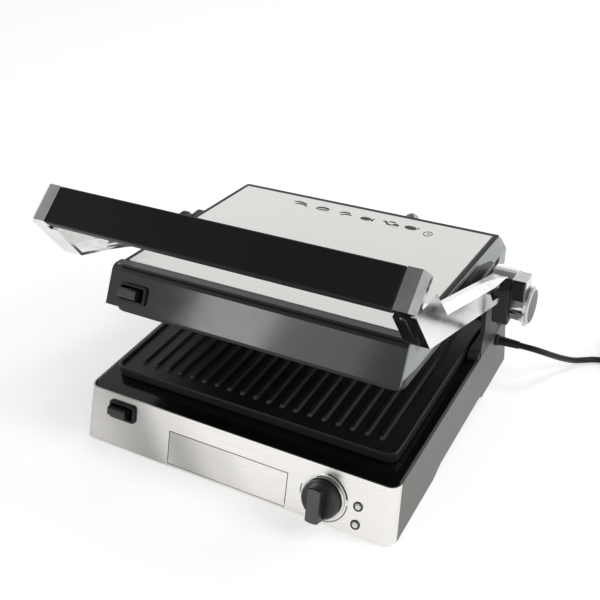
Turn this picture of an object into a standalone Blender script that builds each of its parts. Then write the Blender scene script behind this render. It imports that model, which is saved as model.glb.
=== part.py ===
"""Panini press: a contact grill with two ribbed lift-off plates, a floating lid and a handle across two arms.

Metres, +Z up. The front faces -Y, the feet stand on z = 0 and the origin is under the middle of the object.
Lengths along Y are counted backwards from the foot of the front panel and moved by FRONT_Y at the end.
"""

import math

import bmesh
import bpy
from mathutils import Vector

# ---- driving dimensions ----
GAP = 0.0003
FRONT_Y = -0.1502
SHEET = 0.0015

BASE_HALF = 0.165
BASE_DEPTH = 0.3003
BASE_TOP = 0.0531
BASE_CLEAR = 0.0008
BASE_FLARE = 0.0028
PANEL_RUN = 0.0175
CORNER_R = 0.0095
LEAN = math.atan2(PANEL_RUN, BASE_TOP)
NOTCH = (0.0943, 0.1133, 0.2235, 0.2265)
NOTCH_Z = 0.0055

PLATE_HALF = 0.1513
PLATE_Y = (0.0426, 0.2800)
PLATE_TOP = 0.0647
PLATE_RIM_Z = 0.0542
RIBS = 19
RIB_PITCH = 0.01442
RIB_HIGH = 0.0036

HINGE = (0.245, 0.118)
LID_PIVOT = (0.165, 0.150)
LID_TILT = math.radians(4.9)
LID_BACK = 0.1370

TRAY_X = (-0.0672, 0.0622)
TRAY_V = (0.0030, 0.0375)
TRAY_BACK = 0.158
KNOB = (0.0988, 0.0266)
LAMPS = (("power", 0.1319, 0.0291), ("ready", 0.1315, 0.0114))
BUTTON_HALF = (0.0155, 0.0092)
LOWER_BUTTON = (-0.1226, 0.0405)
UPPER_BUTTON = (-0.1226, 0.0156)
PUSHER = (-0.0020, 0.0104, 0.0046, 0.0088)

ARM_IN = 0.1655
ARM_OUT = 0.1810
BAR_HALF = 0.1630
HOOD_OUT = 0.1865
HOOD_R = (0.0262, 0.0292)
HOOD_ARC = (14, 114)
HUB_R = 0.0125
ARM_RECESS_X = 0.1712
KNUCKLE_X = (0.1700, 0.1860)
LEVER_AT = (0.2450, 0.1125)
LEVER_X = (0.1872, 0.2050)
LEVER_R = 0.0202
LEFT_CAP_R = 0.0155

CORD_R = 0.00325
GLAND = (0.2680, 0.0470)
GLAND_TIP_X = 0.1903
COIL_AT = (0.3120, 0.3780)
COIL_MID_R = 0.0358
COIL_HIGH = 0.0131
CORD_ROUTE = (
    (0.1907, 0.2680, 0.0468), (0.1985, 0.2680, 0.0467), (0.2065, 0.2682, 0.0464), (0.2140, 0.2720, 0.0430),
    (0.2200, 0.2805, 0.0360), (0.2260, 0.2920, 0.0270), (0.2320, 0.3045, 0.0180), (0.2385, 0.3170, 0.0100),
    (0.2465, 0.3285, 0.0052), (0.2560, 0.3360, 0.0037), (0.2665, 0.3390, 0.0036), (0.2770, 0.3392, 0.0036),
    (0.2850, 0.3391, 0.0036),
)
TAIL_ROUTE = (
    (0.2762, 0.3870, 0.0168), (0.2762, 0.3780, 0.0169), (0.2775, 0.3690, 0.0180), (0.2822, 0.3605, 0.0205),
    (0.2875, 0.3545, 0.0245), (0.2925, 0.3518, 0.0285), (0.2975, 0.3510, 0.0310), (0.3040, 0.3510, 0.0316),
    (0.3110, 0.3510, 0.0316),
)
PLUG_X = (0.3117, 0.3270, 0.3565, 0.3755)
PLUG_R = 0.0182

for old in list(bpy.data.objects):
    bpy.data.objects.remove(old, do_unlink=True)


# ---- materials ----
def material(name, colour, roughness, metallic):
    mat = bpy.data.materials.new(name)
    mat.use_nodes = True
    shader = mat.node_tree.nodes["Principled BSDF"]
    shader.inputs["Base Color"].default_value = (*colour, 1.0)
    shader.inputs["Roughness"].default_value = roughness
    shader.inputs["Metallic"].default_value = metallic
    return mat


STEEL = material("brushed_steel", (0.78, 0.77, 0.75), 0.30, 1.0)
CHROME = material("polished_alloy", (0.82, 0.83, 0.84), 0.12, 1.0)
SILVER = material("silver_cover", (0.42, 0.44, 0.44), 0.45, 0.3)
GREY = material("grey_cover", (0.15, 0.155, 0.15), 0.50, 0.0)
GLOSS = material("gloss_black", (0.008, 0.009, 0.010), 0.08, 0.0)
SATIN = material("satin_black", (0.015, 0.015, 0.016), 0.38, 0.0)
COATING = material("nonstick_coating", (0.012, 0.012, 0.012), 0.42, 0.2)
ALLOY = material("plain_aluminium", (0.60, 0.61, 0.62), 0.35, 1.0)
RUBBER = material("black_rubber", (0.02, 0.02, 0.02), 0.80, 0.0)
LENS = material("lamp_lens", (0.55, 0.54, 0.50), 0.20, 0.0)


# ---- builders ----
def new_object(name, bm, mat, parent=None, smooth=False):
    """One object from a closed bmesh, with its faces turned outwards."""
    bmesh.ops.recalc_face_normals(bm, faces=bm.faces)
    mesh = bpy.data.meshes.new(name)
    bm.to_mesh(mesh)
    bm.free()
    mesh.materials.append(mat)
    if smooth:
        mesh.shade_smooth()
        mesh.set_sharp_from_angle(angle=math.radians(35))
    obj = bpy.data.objects.new(name, mesh)
    bpy.context.scene.collection.objects.link(obj)
    obj.parent = parent
    return obj


def axis_empty(name, x, y, z, tilt=0.0, parent=None):
    """An empty on a joint's axis; tilt turns it about X, front upwards when positive."""
    empty = bpy.data.objects.new(name, None)
    bpy.context.scene.collection.objects.link(empty)
    empty.location = (x, y, z)
    empty.rotation_euler = (-tilt, 0.0, 0.0)
    empty.parent = parent
    return empty


def bridge(bm, rings, ring_closed=True):
    """Faces between neighbouring rings of vertices."""
    count = len(rings[0])
    for low, high in zip(rings, rings[1:]):
        for i in range(count if ring_closed else count - 1):
            j = (i + 1) % count
            bm.faces.new((low[i], low[j], high[j], high[i]))


def loft(name, outlines, mat, parent=None, tube=False, smooth=False):
    """A solid through a list of outlines: capped at both ends, or joined end to end when it is a tube."""
    bm = bmesh.new()
    rings = [[bm.verts.new(point) for point in outline] for outline in outlines]
    bridge(bm, rings + rings[:1] if tube else rings)
    if not tube:
        bm.faces.new(rings[0])
        bm.faces.new(rings[-1])
    return new_object(name, bm, mat, parent, smooth)


def rectangle(half, y0, y1, z, radius=0.0, steps=3, centre=0.0):
    """A rectangle at height z with rounded corners."""
    if radius <= 0.0:
        return [(centre + x, y, z) for x, y in ((-half, y0), (half, y0), (half, y1), (-half, y1))]
    points = []
    for sx, yc, start in ((1, y0 + radius, -90), (1, y1 - radius, 0), (-1, y1 - radius, 90),
        (-1, y0 + radius, 180)):
        for k in range(steps + 1):
            a = math.radians(start + 90 * k / steps)
            x = sx * (half - radius) + radius * math.cos(a)
            points.append((centre + x, yc + radius * math.sin(a), z))
    return points


def prism(name, outline, x0, x1, mat, parent=None, y_shift=0.0, smooth=False):
    """An outline of (y, z) points carried along X."""
    sides = [[(x, y + y_shift, z) for y, z in outline] for x in (x0, x1)]
    return loft(name, sides, mat, parent, smooth=smooth)


def box(name, low, high, mat, parent=None):
    outline = ((low[1], low[2]), (high[1], low[2]), (high[1], high[2]), (low[1], high[2]))
    return prism(name, outline, low[0], high[0], mat, parent)


def circle(axis, centre, radius, along, sides, phase=0.0):
    """Points round a centre: about X or about Y, at a place along that axis."""
    points = []
    for k in range(sides):
        a = math.radians(phase) + 2 * math.pi * k / sides
        u = radius * math.cos(a)
        v = radius * math.sin(a)
        if axis == "X":
            points.append((along, centre[0] + u, centre[1] + v))
        else:
            points.append((centre[0] + u, along, centre[1] + v))
    return points


def turned(name, axis, centre, profile, mat, parent=None, sides=24, bored=False):
    """A round piece: profile holds (place along the axis, radius) pairs; bored makes it a ring."""
    rings = [circle(axis, centre, radius, along, sides) for along, radius in profile]
    return loft(name, rings, mat, parent, tube=bored, smooth=True)


def cut(obj, tool):
    """Takes a hidden tool away from an object."""
    tool.hide_render = True
    tool.display_type = "WIRE"
    change = obj.modifiers.new("cut_" + tool.name, "BOOLEAN")
    change.operation = "DIFFERENCE"
    change.object = tool
    change.solver = "EXACT"


def join(obj, tool):
    """Adds a hidden solid to an object."""
    tool.hide_render = True
    tool.display_type = "WIRE"
    change = obj.modifiers.new("join_" + tool.name, "BOOLEAN")
    change.operation = "UNION"
    change.object = tool
    change.solver = "EXACT"


def bevel(obj, width, segments=1, angle=35):
    change = obj.modifiers.new("edges", "BEVEL")
    change.width = width
    change.segments = segments
    change.limit_method = "ANGLE"
    change.angle_limit = math.radians(angle)


def both_sides(make):
    """Runs a builder for the right side, sign 1, and for the left side, sign -1."""
    for side, sign in (("right", 1), ("left", -1)):
        make(side, sign)


# ---- joint axes ----
panel_axis = axis_empty("panel_axis", 0, FRONT_Y, 0, LEAN)
arm_axis = axis_empty("arm_axis", 0, HINGE[0] + FRONT_Y, HINGE[1])
lid_axis = axis_empty("lid_axis", 0, LID_PIVOT[0] + FRONT_Y, LID_PIVOT[1], LID_TILT)
hinge_axis = axis_empty("hinge_axis", 0, HINGE[0] + FRONT_Y, HINGE[1])
lever_axis = axis_empty("lever_axis", 0, LEVER_AT[0] + FRONT_Y, LEVER_AT[1])
FASCIA_HALF = 0.1520
FASCIA = ((-0.1164, -0.0242), (-0.1002, 0.0099))
FASCIA_LEAN = math.atan2(FASCIA[1][0] - FASCIA[0][0], FASCIA[1][1] - FASCIA[0][1])
fascia_axis = axis_empty("fascia_axis", 0, FASCIA[0][0], FASCIA[0][1], FASCIA_LEAN, lid_axis)


# ---- base housing ----
def base_half(z):
    """Half the width of the base, which widens a little towards the floor."""
    return BASE_HALF + BASE_FLARE * (1 - z / BASE_TOP)


def front_panel():
    """A folded steel sheet: leaning front face, rounded corners and short returns along the sides."""
    def wrapped(inset, z):
        shift = FRONT_Y + PANEL_RUN * z / BASE_TOP
        path = []
        for sign in (1, -1):
            turn = []
            for k in range(5):
                a = math.radians(90 * k / 4)
                x = sign * (base_half(z) - CORNER_R + (CORNER_R - inset) * math.cos(a))
                turn.append((x, shift + CORNER_R - (CORNER_R - inset) * math.sin(a), z))
            path += turn if sign == 1 else turn[::-1]
        return path

    bm = bmesh.new()
    rows = [wrapped(0, BASE_CLEAR), wrapped(0, BASE_TOP), wrapped(SHEET, BASE_TOP),
        wrapped(SHEET, BASE_CLEAR)]
    verts = [[bm.verts.new(p) for p in row] for row in rows]
    bridge(bm, verts + verts[:1], ring_closed=False)
    bm.faces.new([row[0] for row in verts])
    bm.faces.new([row[-1] for row in verts])
    panel = new_object("front_panel", bm, STEEL, smooth=True)
    deep = (-0.004, 0.010)
    cut(
        panel,
        box(
            "tray_slot_tool", (TRAY_X[0], deep[0], TRAY_V[0]), (TRAY_X[1], deep[1], TRAY_V[1]), STEEL,
            panel_axis,
        ),
    )
    bx, bv = LOWER_BUTTON
    hx, hv = BUTTON_HALF
    cut(
        panel,
        box(
            "button_slot_tool", (bx - hx + 0.001, deep[0], bv - hv + 0.001),
            (bx + hx - 0.001, deep[1], bv + hv - 0.001), STEEL, panel_axis,
        ),
    )
    cut(panel, turned("knob_hole_tool", "Y", KNOB, ((deep[0], 0.0045), (deep[1], 0.0045)), STEEL,
        panel_axis, 16))
    for which, x, v in LAMPS:
        cut(
            panel,
            turned(
                which + "_hole_tool", "Y", (x, v), ((deep[0], 0.0036), (deep[1], 0.0036)), STEEL,
                panel_axis, 16,
            ),
        )


def base_housing():
    top = BASE_TOP - 0.0003

    def side_cover(side, sign):
        lean = PANEL_RUN / BASE_TOP
        front = CORNER_R + 0.0006
        outline = [(front + lean * BASE_CLEAR, BASE_CLEAR), (NOTCH[0], BASE_CLEAR), (NOTCH[1], NOTCH_Z),
                   (NOTCH[2], NOTCH_Z), (NOTCH[3], BASE_CLEAR), (BASE_DEPTH, BASE_CLEAR), (BASE_DEPTH, top),
                   (front + lean * top, top)]
        walls = [[(sign * (base_half(z) - inset), y + FRONT_Y, z) for y, z in outline] for inset in (0.0028,
            0.0)]
        cover = loft(side + "_side_cover", walls, GREY)
        if sign == 1:
            hole = turned(
                "gland_hole_tool", "X", (GLAND[0] + FRONT_Y, GLAND[1] - 0.0002),
                ((0.15, 0.0050), (0.18, 0.0050)), GREY, None, 16,
            )
            cut(cover, hole)

    both_sides(side_cover)
    half = BASE_HALF - 0.0032
    y0 = FRONT_Y
    deck_rings = [
        rectangle(half, y0 + 0.0196, y0 + 0.2966, BASE_TOP - 0.0028, 0.0084),
        rectangle(half, y0 + 0.0196, y0 + 0.2966, BASE_TOP, 0.0084),
        rectangle(0.1478, y0 + 0.0462, y0 + 0.2764, BASE_TOP, 0.0080),
        rectangle(0.1478, y0 + 0.0462, y0 + 0.2764, BASE_TOP - 0.0028, 0.0080),
    ]
    loft("deck", deck_rings, GLOSS, tube=True)
    pan_rings = [
        rectangle(0.1590, y0 + 0.0045, y0 + 0.2960, 0.0035, 0.008),
        rectangle(0.1590, y0 + 0.0200, y0 + 0.2960, 0.0498, 0.008),
        rectangle(0.1570, y0 + 0.0220, y0 + 0.2940, 0.0498, 0.006),
        rectangle(0.1570, y0 + 0.0072, y0 + 0.2940, 0.0060, 0.006),
    ]
    pan = loft("bottom_pan", pan_rings, SATIN)
    cut(pan, box("pan_front_tool", (-0.150, y0 - 0.002, 0.0065), (0.150, y0 + 0.0245, 0.06), SATIN))
    cut(
        pan,
        turned(
            "pan_gland_tool", "X", (GLAND[0] + y0, GLAND[1] - 0.0002), ((0.15, 0.0050), (0.18, 0.0050)),
            SATIN, None, 16,
        ),
    )
    rear = prism(
        "rear_panel", ((0.2972, 0.0040), (0.2999, 0.0040), (0.2999, BASE_TOP), (0.2972, BASE_TOP)),
        -half, half, SATIN, y_shift=y0,
    )
    for k in range(7):
        x = -0.060 + 0.020 * k
        cut(rear, box(f"vent_{k}_tool", (x - 0.0065, y0 + 0.29, 0.020), (x + 0.0065, y0 + 0.31, 0.036),
            SATIN))
    for number, (x, y) in enumerate(((-0.13, 0.034), (0.13, 0.034), (-0.13, 0.272), (0.13, 0.272)), 1):
        bm = bmesh.new()
        bmesh.ops.create_cone(bm, cap_ends=True, segments=20, radius1=0.0085, radius2=0.0095, depth=0.0032)
        bmesh.ops.translate(bm, vec=(x, y + y0, 0.0016), verts=bm.verts)
        new_object(f"foot_{number}", bm, RUBBER, smooth=True)


# ---- plates and heating ----
def ribbed_plate(name, levels, rib_z, y_span, centre_y, axis, mat):
    """A cast plate lofted through its levels, with ribs along Y standing on its sunken face."""
    rings = [rectangle(half, centre_y + a, centre_y + b, z, radius, 3) for half, a, b, z, radius in levels]
    plate = loft(name, rings, mat, axis)
    bm = bmesh.new()
    for k in range(RIBS):
        x = (k - (RIBS - 1) / 2) * RIB_PITCH
        low, high = [], []
        for half, z, ring in ((RIB_HIGH, rib_z[0], low), (0.0014, rib_z[1], high)):
            for end, start in ((y_span[0] + RIB_HIGH, 180), (y_span[1] - RIB_HIGH, 0)):
                for step in range(4):
                    a = math.radians(start + 60 * step)
                    ring.append(bm.verts.new((x + half * math.cos(a), centre_y + end + half * math.sin(a),
                        z)))
        bridge(bm, [low, high])
        bm.faces.new(low)
        bm.faces.new(high)
    ribs = new_object(name + "_ribs_tool", bm, mat, axis)
    join(plate, ribs)


def plates():
    a, b = PLATE_Y
    y0 = FRONT_Y
    lower = [(0.1415, a + 0.0102, b - 0.0102, 0.0585, 0.008), (0.1415, a + 0.0102, b - 0.0102, 0.0460, 0.008),
             (0.1445, a + 0.0072, b - 0.0072, 0.0460, 0.008),
             (0.1445, a + 0.0072, b - 0.0072, PLATE_RIM_Z, 0.008),
             (0.1505, a + 0.0008, b - 0.0008, PLATE_RIM_Z, 0.009), (PLATE_HALF, a, b, 0.0556, 0.010),
             (PLATE_HALF, a, b, 0.0639, 0.010), (0.1505, a + 0.0008, b - 0.0008, PLATE_TOP, 0.009),
             (0.1487, a + 0.0026, b - 0.0026, PLATE_TOP, 0.0075),
             (0.1478, a + 0.0035, b - 0.0035, 0.0618, 0.0065)]
    ribbed_plate("lower_plate", lower, (0.0612, 0.0645), (a + 0.0165, b - 0.0165), y0, None, COATING)
    c, d = -0.1074, 0.1290
    upper = [(0.1375, c + 0.0295, d - 0.0120, -0.0290, 0.008),
        (0.1375, c + 0.0295, d - 0.0120, -0.0130, 0.008),
             (0.1405, c + 0.0265, d - 0.0090, -0.0130, 0.008),
             (0.1405, c + 0.0265, d - 0.0090, -0.0246, 0.008),
             (0.1497, c + 0.0008, d - 0.0008, -0.0246, 0.009), (0.1505, c, d, -0.0258, 0.010),
             (0.1505, c, d, -0.0340, 0.010), (0.1497, c + 0.0008, d - 0.0008, -0.0350, 0.009),
             (0.1480, c + 0.0026, d - 0.0026, -0.0350, 0.0075),
             (0.1470, c + 0.0035, d - 0.0035, -0.0321, 0.0065)]
    ribbed_plate("upper_plate", upper, (-0.0315, -0.0348), (c + 0.0165, d - 0.0165), 0.0, lid_axis, COATING)


def heater(name, half, y0, y1, z, axis):
    """A bent tubular heater, a U with two bends and its ends at the rear."""
    route = []
    for x, y, start in ((-half + 0.03, y0 + 0.03, 180), (half - 0.03, y0 + 0.03, 270)):
        for k in range(6):
            a = math.radians(start + 18 * k)
            route.append((x + 0.03 * math.cos(a), y + 0.03 * math.sin(a), z))
    route = [(-half, y1, z)] + route + [(half, y1, z)]
    tube(name, route, 0.0033, ALLOY, axis, 1)


def tube(name, route, radius, mat, parent=None, resolution=2):
    curve = bpy.data.curves.new(name, "CURVE")
    curve.dimensions = "3D"
    curve.bevel_depth = radius
    curve.bevel_resolution = resolution
    curve.use_fill_caps = True
    spline = curve.splines.new("POLY")
    spline.points.add(len(route) - 1)
    for point, place in zip(spline.points, route):
        point.co = (*place, 1.0)
    curve.materials.append(mat)
    obj = bpy.data.objects.new(name, curve)
    bpy.context.scene.collection.objects.link(obj)
    obj.parent = parent
    return obj


def heating():
    y0 = FRONT_Y
    shield = [rectangle(0.1465, y0 + 0.0475, y0 + 0.2750, 0.0325),
        rectangle(0.1465, y0 + 0.0475, y0 + 0.2750, 0.0495),
              rectangle(0.1453, y0 + 0.0487, y0 + 0.2738, 0.0495),
              rectangle(0.1453, y0 + 0.0487, y0 + 0.2738, 0.0337)]
    loft("lower_heat_shield", shield, ALLOY)
    heater("lower_heater", 0.105, y0 + 0.075, y0 + 0.262, 0.0400, None)
    cover = [rectangle(0.1430, -0.0835, 0.1230, 0.0040), rectangle(0.1430, -0.0835, 0.1230, -0.0150),
             rectangle(0.1418, -0.0823, 0.1218, -0.0150), rectangle(0.1418, -0.0823, 0.1218, 0.0028)]
    loft("upper_heat_shield", cover, ALLOY, lid_axis)
    heater("upper_heater", 0.105, -0.075, 0.110, -0.0075, lid_axis)


# ---- controls ----
def controls():
    y0 = FRONT_Y
    kx, kv = KNOB
    knob_axis = axis_empty("knob_axis", kx, 0, kv, 0.0, panel_axis)
    turned(
        "knob_bezel", "Y", (kx, kv),
        ((-0.0003, 0.0205), (-0.0022, 0.0203), (-0.0030, 0.0196), (-0.0030, 0.0190), (-0.0003, 0.0190)),
        CHROME, panel_axis, 48, bored=True,
    )
    knob = turned(
        "thermostat_knob", "Y", (0, 0), ((-0.0008, 0.0184), (-0.0085, 0.0178), (-0.0105, 0.0162)),
        SATIN, knob_axis, 48,
    )
    grip = []
    for along, scale in ((-0.0060, 0.98), (-0.0203, 0.95), (-0.0216, 0.90)):
        ring = []
        for start, sign in ((-90, 1), (90, -1)):
            for k in range(7):
                a = math.radians(start - 21 + 7 * k)
                ring.append((0.0178 * scale * math.cos(a), along, 0.0178 * scale * math.sin(a)))
        grip.append(ring)
    join(knob, loft("knob_grip_tool", grip, SATIN, knob_axis))
    turned("thermostat_shaft", "Y", (0, 0), ((-0.0005, 0.0030), (0.0160, 0.0030)), ALLOY, knob_axis, 12)
    box("thermostat_body", (kx - 0.016, y0 + 0.0275, 0.0120), (kx + 0.016, y0 + 0.0420, 0.0360), ALLOY)
    for which, x, v in LAMPS:
        turned(
            f"{which}_lamp_bezel", "Y", (x, v),
            ((-0.0003, 0.0046), (-0.0012, 0.0042), (-0.0012, 0.0034), (-0.0003, 0.0034)), SATIN,
            panel_axis, 24, bored=True,
        )
        turned(
            f"{which}_lamp", "Y", (x, v),
            ((0.0042, 0.0029), (-0.0004, 0.0031), (-0.0014, 0.0024), (-0.0018, 0.0012)), LENS,
            panel_axis, 16,
        )
    release_button("lower", LOWER_BUTTON, panel_axis)
    release_button("upper", UPPER_BUTTON, fascia_axis)


def release_button(name, place, axis):
    """A frame on the face and a push button that slides straight in through it."""
    x, v = place
    hx, hv = BUTTON_HALF
    rings = []
    for inset, along in ((0.0, -0.0003), (0.0, -0.0020), (0.0008, -0.0028), (0.0026, -0.0028),
        (0.0026, -0.0003)):
        outline = rectangle(hx - inset, v - hv + inset, v + hv - inset, along, 0.0034 - inset, centre=x)
        rings.append([(px, pz, py) for px, py, pz in outline])
    loft(name + "_button_frame", rings, GLOSS, axis, tube=True)
    offset, half, tall, out = PUSHER
    push_axis = axis_empty(name + "_push_axis", x + offset, 0, v, 0.0, axis)
    outline = ((0.0070, -tall), (0.0012 - out, -tall), (-out, 0.0010 - tall), (-out, tall - 0.0016),
               (0.0016 - out, tall), (0.0070, tall))
    prism(name + "_release_button", outline, -half, half, SATIN, push_axis)


# ---- drip tray ----
def drip_tray():
    y0 = FRONT_Y
    x0, x1 = TRAY_X
    clear = 0.0008
    lean = PANEL_RUN / BASE_TOP
    box(
        "drip_tray_front", (x0 + clear, 0.0, TRAY_V[0] + clear), (x1 - clear, SHEET, TRAY_V[1] - clear),
        STEEL, panel_axis,
    )
    centre = (x0 + x1) / 2
    half = (x1 - x0) / 2 - 0.0018
    rings = []
    for inset, z in ((0, 0.0070), (0, 0.0310), (SHEET, 0.0310), (SHEET, 0.0085)):
        front = y0 + lean * z + SHEET / math.cos(LEAN) + 0.0003 + inset
        rings.append(rectangle(half - inset, front, y0 + TRAY_BACK - inset, z, centre=centre))
    loft("drip_tray", rings, SATIN)


# ---- lid ----
def lid():
    lean = (FASCIA[1][0] - FASCIA[0][0]) / (FASCIA[1][1] - FASCIA[0][1])
    y_at = lambda z: FASCIA[0][0] + lean * (z - FASCIA[0][1])
    front = [(y_at(-0.0242), -0.0242), (y_at(0.0060), 0.0060), (y_at(0.0085) + 0.0006, 0.0085),
             (y_at(0.0099) + 0.0022, 0.0097), (y_at(0.0099) + 0.0050, 0.0102), (-0.0872, 0.0102),
             (-0.0872, 0.0070),
             (y_at(0.0060) + 0.0040, 0.0060), (y_at(-0.0242) + 0.0040, -0.0242)]
    fascia = prism("lid_fascia", front, -FASCIA_HALF, FASCIA_HALF, GLOSS, lid_axis)
    bx, bv = UPPER_BUTTON
    hx, hv = BUTTON_HALF
    cut(
        fascia,
        box(
            "fascia_slot_tool", (bx - hx + 0.001, -0.004, bv - hv + 0.001),
            (bx + hx - 0.001, 0.012, bv + hv - 0.001), GLOSS, fascia_axis,
        ),
    )
    back = LID_BACK
    frame = [rectangle(0.1488, -0.0965, back, -0.0242), rectangle(0.1488, -0.0862, back, 0.0066),
             rectangle(0.1488, -0.0862, back, 0.0098), rectangle(0.1464, -0.0862, back - 0.0024, 0.0098),
             rectangle(0.1464, -0.0862, back - 0.0024, 0.0086),
             rectangle(0.1445, -0.0850, back - 0.0042, 0.0062),
             rectangle(0.1445, -0.0945, back - 0.0042, -0.0242)]
    loft("lid_frame", frame, GLOSS, lid_axis, tube=True)
    sheet = [rectangle(0.1460, -0.0856, back - 0.0028, 0.0089),
        rectangle(0.1460, -0.0856, back - 0.0028, 0.0096),
             rectangle(0.1455, -0.0851, back - 0.0033, 0.0101)]
    loft("lid_top_plate", sheet, STEEL, lid_axis)

    def side_cover(side, sign):
        outlines = []
        for y, top, wide in ((None, 0.0050, FASCIA_HALF - 0.0004), (-0.0868, 0.0050, 0.1538),
            (-0.0864, 0.0090, 0.1540),
                             (back - 0.0050, 0.0090, 0.1570), (back + 0.0060, 0.0060, 0.1570)):
            section = ((0.1492, -0.0236), (wide - 0.0022, -0.0236), (wide, -0.0210), (wide, -0.0045),
                (0.1502, top),
                       (0.1492, top))
            outlines.append([(sign * x, y_at(z) + 0.0044 if y is None else y, z) for x, z in section])
        cover = loft(side + "_lid_cover", outlines, SILVER, lid_axis)
        slot = ((0.0050, -0.0125), (0.1180, -0.0170), (0.1230, -0.0050), (0.0750, -0.0062))
        tool = prism(side + "_lid_slot_tool", slot, sign * 0.1545, sign * 0.17, SILVER, lid_axis)
        cut(cover, tool)

    both_sides(side_cover)
    prism(
        "lid_rear_cover",
        (
            (back + 0.0004, -0.0238), (back + 0.0036, -0.0238), (back + 0.0036, 0.0090),
            (back + 0.0004, 0.0090),
        ),
        -0.1488, 0.1488, GLOSS, lid_axis,
    )
    bm = bmesh.new()
    bmesh.ops.create_uvsphere(bm, u_segments=16, v_segments=8, radius=0.0085)
    bmesh.ops.scale(bm, vec=(1.0, 0.70, 0.90), verts=bm.verts)
    bmesh.ops.translate(bm, vec=(0.0512, back + 0.0100, 0.0028), verts=bm.verts)
    new_object("lid_wire_guard", bm, SILVER, lid_axis, smooth=True)

    def pivot(side, sign):
        turned(side + "_lid_pivot", "X", (0, 0), ((sign * 0.1573, 0.0050), (sign * 0.1665, 0.0050)),
               ALLOY, lid_axis, 20)

    both_sides(pivot)


# ---- arms, handle and hinge ----
BAR = ((-0.2415, 0.1247), (-0.2132, 0.1456))
BAR_THICK = 0.0090
CAP_THICK = 0.0095
BAR_ANGLE = math.atan2(BAR[1][1] - BAR[0][1], BAR[1][0] - BAR[0][0])
BACKWARD = Vector((math.sin(BAR_ANGLE), -math.cos(BAR_ANGLE)))


def bar_point(which, depth, slide=0.0):
    """A point of the bar's section: an end of its face, moved in from the face and along it."""
    y, z = BAR[which]
    along = Vector((math.cos(BAR_ANGLE), math.sin(BAR_ANGLE)))
    place = Vector((y, z)) + BACKWARD * depth + along * slide
    return (place.x, place.y)


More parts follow.
